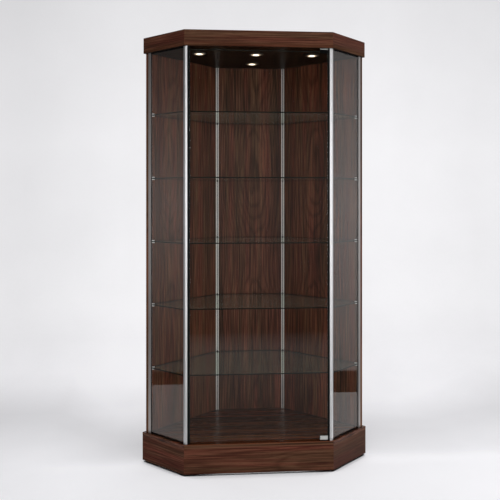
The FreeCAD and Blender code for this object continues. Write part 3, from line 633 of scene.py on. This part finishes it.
FINISHES = {
    walnut_front: ["base_front_board", "base_back_board", "crown_front_board", "crown_back_board"],
    walnut_rising: ["base_right_side_board", "base_left_wall_board", "crown_right_side_board",
                    "crown_left_wall_board"],
    walnut_falling: ["base_left_side_board", "base_right_wall_board", "crown_left_side_board",
                     "crown_right_wall_board"],
    walnut_panel: ["back_panel"],
    walnut_panel_rising: ["left_wall_panel"],
    walnut_panel_falling: ["right_wall_panel"],
    walnut_deck: ["base_deck"],
    walnut_ceiling_painted_shade: ["ceiling_board"],
    pressed_board: ["crown_top_board", "base_corner_blocks"],
    aluminium: ["front_right_upright"],
    left_aluminium_painted_side_shade: ["front_left_upright"],
    inner_aluminium_painted_light: ["back_right_upright", "back_left_upright"],
    outer_aluminium_painted_shade: ["outer_right_upright", "outer_left_upright"],
    shelf_pane: ["glass_shelf_%d" % level for level in SHELVES],
    clip_nickel: ["shelf_clips_%d" % level for level in SHELVES],
    satin_nickel: ["bottom_hinge_clamp"],
    bezel_nickel: ["downlight_bezels"],
    door_pane: ["door_glass"],
    side_pane: ["right_side_glass", "left_side_glass"],
    bright_cover: ["top_hinge_cover"],
    black_clamp: ["top_hinge_clamp", "downlight_housings"],
    black_rubber: ["side_glass_gaskets", "right_door_seal", "left_door_seal", "hinge_pads"],
    black_plastic: ["hinge_bushes", "lamp_distributor", "lamp_leads", "power_inlet"],
    zinc_steel: ["hinge_pins", "hinge_set_screws", "foot_inserts", "wall_panel_screws",
                 "upright_screws"],
    threaded_steel(): ["levelling_feet"],
    lit_diffuser(): ["downlight_lenses"],
    led_board_finish(): ["downlight_led_boards"],
}
for finish, names in FINISHES.items():
    for name in names:
        for material_slot in nodes[name].material_slots:
            material_slot.material = finish


# ---- glass edges ---------------------------------------------------------------------------------

def add_object(name, data):
    thing = bpy.data.objects.new(name, data)
    bpy.context.scene.collection.objects.link(thing)
    return thing


def merged_shape(node):
    """A CAD node's mesh, in which neighbouring faces share their corners."""
    same_point = 1e-6
    shape = bmesh.new()
    shape.from_mesh(nodes[node].data)
    bmesh.ops.remove_doubles(shape, verts=shape.verts, dist=same_point)
    return shape


def edged_pane(name, node, body, through, finishes):
    """A pane's own shape, dark green on the narrow edges, where glass is seen along its width."""
    broad_face = 0.98       # a broad face's normal agrees with the way through the pane this well
    shape = merged_shape(node)
    shape.normal_update()
    for face in shape.faces:
        face.material_index = int(abs(face.normal.dot(Vector(through))) < broad_face)
    mesh = bpy.data.meshes.new(name)
    shape.to_mesh(mesh)
    shape.free()
    for finish in finishes:
        mesh.materials.append(finish)
    piece = add_object(name, mesh)
    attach(piece, body)
    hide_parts(node)


for level in SHELVES:
    edged_pane("edged_shelf_%d" % level, "glass_shelf_%d" % level, "cabinet", Z,
               (shelf_pane, shelf_edge))
edged_pane("edged_door", "door_glass", "door", Y, (door_pane, door_edge_painted_highlight))


# ---- screws --------------------------------------------------------------------------------------

def combine(tree, meshes, operation, first=None):
    """Join meshes to one solid, or cut them from the first one."""
    node = add_node(tree, "GeometryNodeMeshBoolean", operation=operation)
    if first is not None:
        tree.links.new(first, node.inputs["Mesh 1"])
    for mesh in meshes:
        tree.links.new(mesh, node.inputs["Mesh 2"])
    return node.outputs["Mesh"]


def driven_screw_tree():
    """Countersunk screws with a cross recess, one on each point, turned to the point's "inward"."""
    head_sides = 28
    shank_sides = 16
    cross_width = 1.15      # in head radii
    random_max, random_value = 3, 1     # numbers of the random node's sockets for plain values
    tree = bpy.data.node_groups.new("driven screws", "GeometryNodeTree")
    sockets = tree.interface
    sockets.new_socket(name="Geometry", in_out="INPUT", socket_type="NodeSocketGeometry")
    sizes = {"Head radius": 0.0036, "Head height": 0.0024, "Shank radius": 0.0019, "Length": 0.022,
             "Recess width": 0.0009, "Recess depth": 0.0016, "Seed": 4}
    for label, value in sizes.items():
        kind = "NodeSocketInt" if isinstance(value, int) else FLOAT
        sockets.new_socket(name=label, in_out="INPUT", socket_type=kind).default_value = value
    sockets.new_socket(name="Finish", in_out="INPUT", socket_type="NodeSocketMaterial")
    sockets.new_socket(name="Geometry", in_out="OUTPUT", socket_type="NodeSocketGeometry")
    given = tree.nodes.new("NodeGroupInput").outputs
    head = add_node(tree, "GeometryNodeMeshCone", {
        "Vertices": head_sides, "Radius Top": given["Shank radius"],
        "Radius Bottom": given["Head radius"], "Depth": given["Head height"]}).outputs["Mesh"]
    shank = add_node(tree, "GeometryNodeMeshCylinder", {
        "Vertices": shank_sides, "Radius": given["Shank radius"], "Depth": given["Length"]})
    middle = add_node(tree, "ShaderNodeCombineXYZ", {"Z": times(tree, given["Length"], 0.5)})
    shank = add_node(tree, "GeometryNodeTransform", {"Geometry": shank.outputs["Mesh"],
                                                     "Translation": middle.outputs[0]})
    whole = combine(tree, (head, shank.outputs["Geometry"]), "UNION")
    across = times(tree, given["Head radius"], cross_width)
    depth = times(tree, given["Recess depth"], 2.0)     # half of it stands above the head's face
    arms = []
    for wide, narrow in ((across, given["Recess width"]), (given["Recess width"], across)):
        size = add_node(tree, "ShaderNodeCombineXYZ", {"X": wide, "Y": narrow, "Z": depth}).outputs[0]
        arms.append(add_node(tree, "GeometryNodeMeshCube", {"Size": size}).outputs["Mesh"])
    driven = combine(tree, arms, "DIFFERENCE", whole)
    inward = add_node(tree, "GeometryNodeInputNamedAttribute", {"Name": "inward"},
                      data_type="FLOAT_VECTOR")
    turned = add_node(tree, "FunctionNodeAlignRotationToVector",
                      {"Vector": inward.outputs["Attribute"]}, axis="Z")
    spin = add_node(tree, "FunctionNodeRandomValue", {"Seed": given["Seed"]}, data_type="FLOAT")
    spin.inputs[random_max].default_value = math.tau
    drive = add_node(tree, "FunctionNodeAxisAngleToRotation",
                     {"Axis": Z, "Angle": spin.outputs[random_value]})
    turn = add_node(tree, "FunctionNodeRotateRotation", {"Rotation": turned.outputs["Rotation"],
                                                         "Rotate By": drive.outputs["Rotation"]},
                    rotation_space="LOCAL")
    placed = add_node(tree, "GeometryNodeInstanceOnPoints", {
        "Points": given["Geometry"], "Instance": driven, "Rotation": turn.outputs["Rotation"]})
    real = add_node(tree, "GeometryNodeRealizeInstances", {"Geometry": placed.outputs["Instances"]})
    coated = add_node(tree, "GeometryNodeSetMaterial", {"Geometry": real.outputs["Geometry"],
                                                        "Material": given["Finish"]})
    end = tree.nodes.new("NodeGroupOutput")
    tree.links.new(coated.outputs["Geometry"], end.inputs["Geometry"])
    return tree


def separate_solids(node):
    """Corner points of each separate solid in a CAD node, always in the order of its mesh."""
    shape = merged_shape(node)
    seen = set()
    solids = []
    for start in shape.verts:
        if start in seen:
            continue
        seen.add(start)
        reached = [start]
        corners = []
        while reached:
            corner = reached.pop()
            corners.append(corner.co.copy())
            for edge in corner.link_edges:
                other = edge.other_vert(corner)
                if other not in seen:
                    seen.add(other)
                    reached.append(other)
        solids.append(corners)
    shape.free()
    return solids


def head_and_tip(corners):
    """Middle of a screw's head face and of its far end, from the corners of its solid."""
    same_level = 1e-5
    middle = sum(corners, Vector()) / len(corners)
    far = max(corners, key=lambda corner: (corner - middle).length)
    axis = max((Vector(way) for way in (Z, RISING, FALLING)),
               key=lambda way: abs((far - middle).dot(way)))
    places = [corner.dot(axis) for corner in corners]
    ends = []
    for level in (min(places), max(places)):
        rim = [corner for corner in corners if abs(corner.dot(axis) - level) < same_level]
        width = max((corner - other).length for corner in rim for other in rim)
        ends.append((width, sum(rim, Vector()) / len(rim)))
    ends.sort(key=lambda end: end[0], reverse=True)     # the head is the wider end
    return ends[0][1], ends[1][1]


SCREW_TREE = driven_screw_tree()


def driven_screws(name, node, finish):
    """Screws with driven heads in place of a CAD node's plain ones, at the same places and length."""
    ends = [head_and_tip(corners) for corners in separate_solids(node)]
    mesh = bpy.data.meshes.new(name)
    mesh.from_pydata([head for head, tip in ends], [], [])
    inward = mesh.attributes.new("inward", "FLOAT_VECTOR", "POINT")
    for index, (head, tip) in enumerate(ends):
        inward.data[index].vector = (tip - head).normalized()
    stand = add_object(name + "_points", mesh)
    modifier = stand.modifiers.new("screws", "NODES")
    modifier.node_group = SCREW_TREE
    sockets = {item.name: item.identifier for item in SCREW_TREE.interface.items_tree
               if item.in_out == "INPUT"}
    modifier[sockets["Length"]] = (ends[0][1] - ends[0][0]).length
    modifier[sockets["Finish"]] = finish
    bpy.context.view_layer.update()
    made = stand.evaluated_get(bpy.context.evaluated_depsgraph_get())
    whole = bpy.data.meshes.new_from_object(made)
    stand.modifiers.remove(modifier)
    bpy.data.objects.remove(stand)
    piece = add_object(name, whole)
    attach(piece, "cabinet")
    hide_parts(node)


driven_screws("driven_wall_panel_screws", "wall_panel_screws", zinc_steel)
driven_screws("driven_upright_screws", "upright_screws", zinc_steel)


# ---- floor, backdrop, light and camera -----------------------------------------------------------

FRONT = -3.6                # Y of the studio's front, behind the camera
REAR = 1.4                  # Y where the side cards end
CARD_TOP = 4.6
PAPER_NEAR = -3.5           # Y where the paper on the floor begins
PAPER_REACH = 9.0           # how far the paper runs to either side
CARD_LIFT = 0.002           # floor cards lie just above the paper
STRIP_LIFT = 0.004          # and the two floor strips just above the cards


def seen_directly(tree):
    """1 for rays from the camera, a gloss or a pane, 0 for the soft light that surfaces gather."""
    path = tree.nodes.new("ShaderNodeLightPath").outputs
    return calc(tree, "MAXIMUM", calc(tree, "MAXIMUM", path["Is Camera Ray"], path["Is Glossy Ray"]),
                path["Is Transmission Ray"])


def paper_tone(tree, spot, place):
    """How bright the paper is, with painted light and shade: darker high on the wall and in the soft
    fold where it turns up, the fold drawn nearer beside the cabinet, lighter on the floor, to the
    right, towards the middle and low on the left, and a painted glint on the floor.
    """
    def along(axis, start, stop, first=0.0, last=1.0):
        """A value that goes evenly from first to last between two places on an axis."""
        return spread(tree, spot[axis], start, stop, first, last)

    lit_middle = 0.15       # X from which the sheet darkens to both sides
    glint_row = -0.13       # Y of a faint bright line on the floor beside the cabinet
    aside = distance_from(tree, spot["X"], lit_middle)
    # Painted shade: beside the cabinet the fold is drawn nearer, like the cabinet's shadows.
    nearer_left = times(tree, along("X", -1.05, -0.70, 0.0, 0.42), along("X", 0.1, -0.1))
    nearer_right = times(tree, along("X", 1.6, 1.0, 0.0, 0.30), along("X", -0.1, 0.1))
    nearer = times(tree, plus(tree, nearer_left, nearer_right), along("Y", -0.25, 0.0))
    depth = plus(tree, spot["Y"], nearer)
    # Painted shade in the fold where the paper turns up.
    fold = calc(tree, "MINIMUM", spread(tree, depth, -0.05, 0.55), spread(tree, depth, 1.12, 0.70))
    fold = times(tree, fold, along("X", -1.0, 1.0, 0.145, 0.155))
    # Painted light and shade: darker high on the wall, lighter on the floor, to the right, towards the
    # middle and low on the left.
    high_on_wall = along("Z", 1.6, 2.8, 0.87, 0.75)
    on_floor = along("Z", 0.0, 0.3, 0.08, 0.0)
    left_to_right = along("X", -1.6, 1.6, 0.98, 1.035)
    middle_to_sides = spread(tree, aside, 1.6, 0.95, 0.97, 1.07)
    low_left = times(tree, along("Z", 1.0, 0.15, 0.0, 0.10), along("X", 0.0, -0.4),
                     along("X", -1.3, -0.8, 0.65, 1.0), along("Z", 0.01, 0.08))
    far_right = along("X", 1.2, 1.8, 1.0, 1.02)
    patches = spread(tree, cloud(tree, place, (2.6, 2.6, 2.6), detail=3.0), 0.3, 0.7, 0.985, 1.015)
    tone = plus(tree, minus(tree, high_on_wall, fold), on_floor)
    tone = times(tree, tone, left_to_right, middle_to_sides, plus(tree, 1.0, low_left), far_right,
                 patches)
    # Painted glint: a faint bright line on the floor beside the cabinet.
    glint = times(tree, spread(tree, distance_from(tree, spot["Y"], glint_row), 0.08, 0.0),
                  spread(tree, aside, 1.3, 0.7, 0.0, 0.05))
    fibres = spread(tree, cloud(tree, place, (60.0, 60.0, 60.0), detail=3.0), 0.3, 0.7, 0.995, 1.005)
    return times(tree, plus(tree, tone, glint), fibres)


def paper_finish():
    """Pale paper with painted shade where the cabinet stands close over it and painted shadows behind
    the cabinet; it glows a little where it is seen directly, and is clear from behind.
    """
    material, tree, shader, place = new_material("pale paper", Roughness=0.7, Specular_IOR_Level=0.2)
    spot = split(tree, place)
    # Painted shade: the paper darkens within 0.12 m of the cabinet, and behind it within 0.5 m as its
    # shadow.
    under_cabinet = openness(tree, 0.12, samples=8)
    round_cabinet = openness(tree, 0.5, samples=8)
    shadow = times(tree, spread(tree, round_cabinet, 0.97, 0.50, 0.0, 0.20),
                   spread(tree, spot["Y"], -0.10, 0.15))
    tone = times(tree, paper_tone(tree, spot, place), spread(tree, under_cabinet, 0.42, 0.53),
                 minus(tree, 1.0, shadow))
    colour = vector_calc(tree, "SCALE", (0.990, 0.985, 1.005))
    tree.links.new(tone, colour.node.inputs["Scale"])
    set_shader(tree, shader, Base_Color=colour)
    glow = add_node(tree, "ShaderNodeEmission", {"Color": colour})
    share = times(tree, seen_directly(tree), spread(tree, spot["Z"], 0.0, 0.5, 0.50, 0.85),
                  spread(tree, under_cabinet, 0.45, 0.65))
    lit = blend_shaders(tree, share, shader.outputs["BSDF"], glow.outputs["Emission"])
    behind = tree.nodes.new("ShaderNodeNewGeometry").outputs["Backfacing"]
    clear = tree.nodes.new("ShaderNodeBsdfTransparent").outputs["BSDF"]
    show(tree, blend_shaders(tree, behind, lit, clear))
    return material


def sheet_of(name, rows, material):
    """A surface through rows of points, one quad between each pair of rows and points."""
    mesh = bpy.data.meshes.new(name)
    width = len(rows[0])
    quads = [(i * width + j, i * width + j + 1, (i + 1) * width + j + 1, (i + 1) * width + j)
             for i in range(len(rows) - 1) for j in range(width - 1)]
    mesh.from_pydata([point for row in rows for point in row], [], quads)
    mesh.materials.append(material)
    surface = add_object(name, mesh)
    return surface


def cove_profile(wall, radius, top):
    """Y and Z of the backdrop from the floor through a quarter round up the wall."""
    steps = 24
    turns = [0.5 * math.pi * step / steps for step in range(steps + 1)]
    curve = [(wall - radius + radius * math.sin(turn), radius - radius * math.cos(turn))
             for turn in turns]
    return curve + [(wall, top)]


profile = [(PAPER_NEAR, 0.0)] + cove_profile(wall=1.55, radius=0.9, top=6.0)
paper = sheet_of("paper_backdrop", [[(-PAPER_REACH, y, z), (PAPER_REACH, y, z)] for y, z in profile],
                 paper_finish())
for polygon in paper.data.polygons:
    polygon.use_smooth = True
if paper.data.polygons[0].normal.z < 0:
    paper.data.flip_normals()


def studio_card(name, rows, axis, tones):
    """A card that shows only in reflections; tones are (place along the axis, brightness)."""
    material, tree, shader, place = new_material(name)
    tree.nodes.remove(shader)
    spot = split(tree, place)[axis]
    tone = tones[0][1]
    for (start, first), (stop, second) in zip(tones, tones[1:]):
        tone = plus(tree, tone, spread(tree, spot, start, stop, 0.0, second - first))
    light = add_node(tree, "ShaderNodeEmission", {"Strength": tone}).outputs["Emission"]
    clear = tree.nodes.new("ShaderNodeBsdfTransparent").outputs["BSDF"]
    path = tree.nodes.new("ShaderNodeLightPath").outputs
    mirrored = calc(tree, "GREATER_THAN", path["Glossy Depth"], 0.5)
    show(tree, blend_shaders(tree, mirrored, clear, light))
    card = sheet_of(name, rows, material)
    card.visible_camera = False
    card.visible_diffuse = False
    card.visible_shadow = False


def upright_card(name, start, end, low, high, tones):
    studio_card(name, [[(x, y, z) for x, y in (start, end)] for z in (low, high)], "Z", tones)


def floor_card(name, left, right, near, far, tones):
    studio_card(name, [[(x, y, CARD_LIFT) for x in (left, right)] for y in (near, far)], "Y", tones)


upright_card("front_card", (-4.5, FRONT), (4.5, FRONT), -0.2, CARD_TOP,
             [(0.0, 0.03), (0.15, 0.04), (0.55, 0.09), (1.2, 0.12), (1.8, 0.10), (2.3, 0.01)])
floor_card("left_floor_gap", -1.95, -1.84, -1.0, 1.2, [(-1.0, 0.02), (0.9, 0.02)])
floor_card("front_floor_card", -1.4, 1.2, PAPER_NEAR, -0.45,
           [(-3.5, 0.05), (-3.3, 0.14), (-2.85, 0.27), (-1.2, 0.14)])
upright_card("left_strip_card", (-1.25, -3.55), (-0.42, -3.55), 0.0, 3.2,
             [(0.1, 0.9), (0.7, 1.5), (2.0, 1.5), (3.2, 1.3)])
upright_card("right_strip_card", (1.02, -3.55), (1.9, -3.55), 0.0, 3.2,
             [(0.1, 0.6), (0.7, 0.72), (1.6, 0.6), (3.2, 0.75)])
for name, near, far in (("left_strip_floor", (-1.4, -0.5), (-0.75, -0.36)),
                        ("right_strip_floor", (1.0, 2.0), (0.43, 0.75))):
    rows = [[(x, PAPER_NEAR, STRIP_LIFT) for x in near], [(x, -0.7, STRIP_LIFT) for x in far]]
    studio_card(name, rows, "Y", [(-2.8, 0.60), (-1.2, 0.50)])
upright_card("left_card", (-1.95, FRONT), (-1.95, REAR), 0.0, CARD_TOP,
             [(0.055, 0.02), (0.068, 0.13), (0.31, 0.16), (1.2, 0.50), (2.0, 0.16), (2.6, 0.04)])
floor_card("left_floor_card", -1.84, -0.75, -0.7, 0.9, [(-0.7, 0.55), (0.9, 0.55)])
upright_card("right_card", (2.1, FRONT), (2.1, REAR), 0.0, CARD_TOP,
             [(0.0, 0.04), (0.015, 0.42), (1.2, 0.75), (2.0, 0.50), (3.0, 0.20)])
floor_card("right_floor_gap", 1.57, 2.1, -1.0, 1.2, [(-1.0, 0.03), (0.9, 0.03)])
floor_card("right_floor_card", 0.75, 1.57, -0.7, 0.9, [(-0.7, 0.60), (0.9, 0.60)])
studio_card("ceiling_card", [[(x, y, CARD_TOP) for x in (-4.5, 4.5)] for y in (FRONT, REAR)], "Y",
            [(FRONT, 0.04), (REAR, 0.04)])

camera = bpy.data.cameras.new("camera")
camera.sensor_width = 36.0
camera.lens = 49.70
camera.shift_y = -0.0997
camera_stand = add_object("camera", camera)
camera_stand.location = (-0.2906, -3.3374, 1.2228)
camera_stand.rotation_euler = (math.radians(90.0), 0.0, math.radians(-4.635))
bpy.context.scene.camera = camera_stand


def soft_box(name, place, target, width, height, power):
    """A rectangular lamp that faces its target and isn't seen as a patch through the glass."""
    lamp = bpy.data.lights.new(name, "AREA")
    lamp.shape = "RECTANGLE"
    lamp.size = width
    lamp.size_y = height
    lamp.energy = power
    stand = add_object(name, lamp)
    stand.location = place
    stand.rotation_euler = (Vector(target) - Vector(place)).to_track_quat("-Z", "Y").to_euler()
    stand.visible_transmission = False


soft_box("key", (2.2, -2.9, 1.3), (0.1, 0.0, 0.6), width=2.2, height=1.8, power=34.0)
soft_box("fill", (-2.4, -2.2, 1.6), (0.0, 0.0, 0.7), width=1.4, height=1.4, power=3.0)
soft_box("left_strip", (-0.85, -3.1, 1.25), (-0.2, 0.0, 0.8), width=0.4, height=2.0, power=10.0)
soft_box("right_strip", (1.35, -3.0, 1.25), (0.2, 0.0, 0.8), width=0.4, height=2.0, power=4.0)

world = bpy.data.worlds.new("studio")
world.use_nodes = True
bpy.context.scene.world = world
sky = world.node_tree
background = sky.nodes["Background"]
background.inputs["Color"].default_value = (0.97, 0.97, 1.0, 1)
sky.links.new(spread(sky, seen_directly(sky), 0.0, 1.0, 0.66, 0.85), background.inputs["Strength"])

bpy.context.scene.view_settings.view_transform = "Standard"
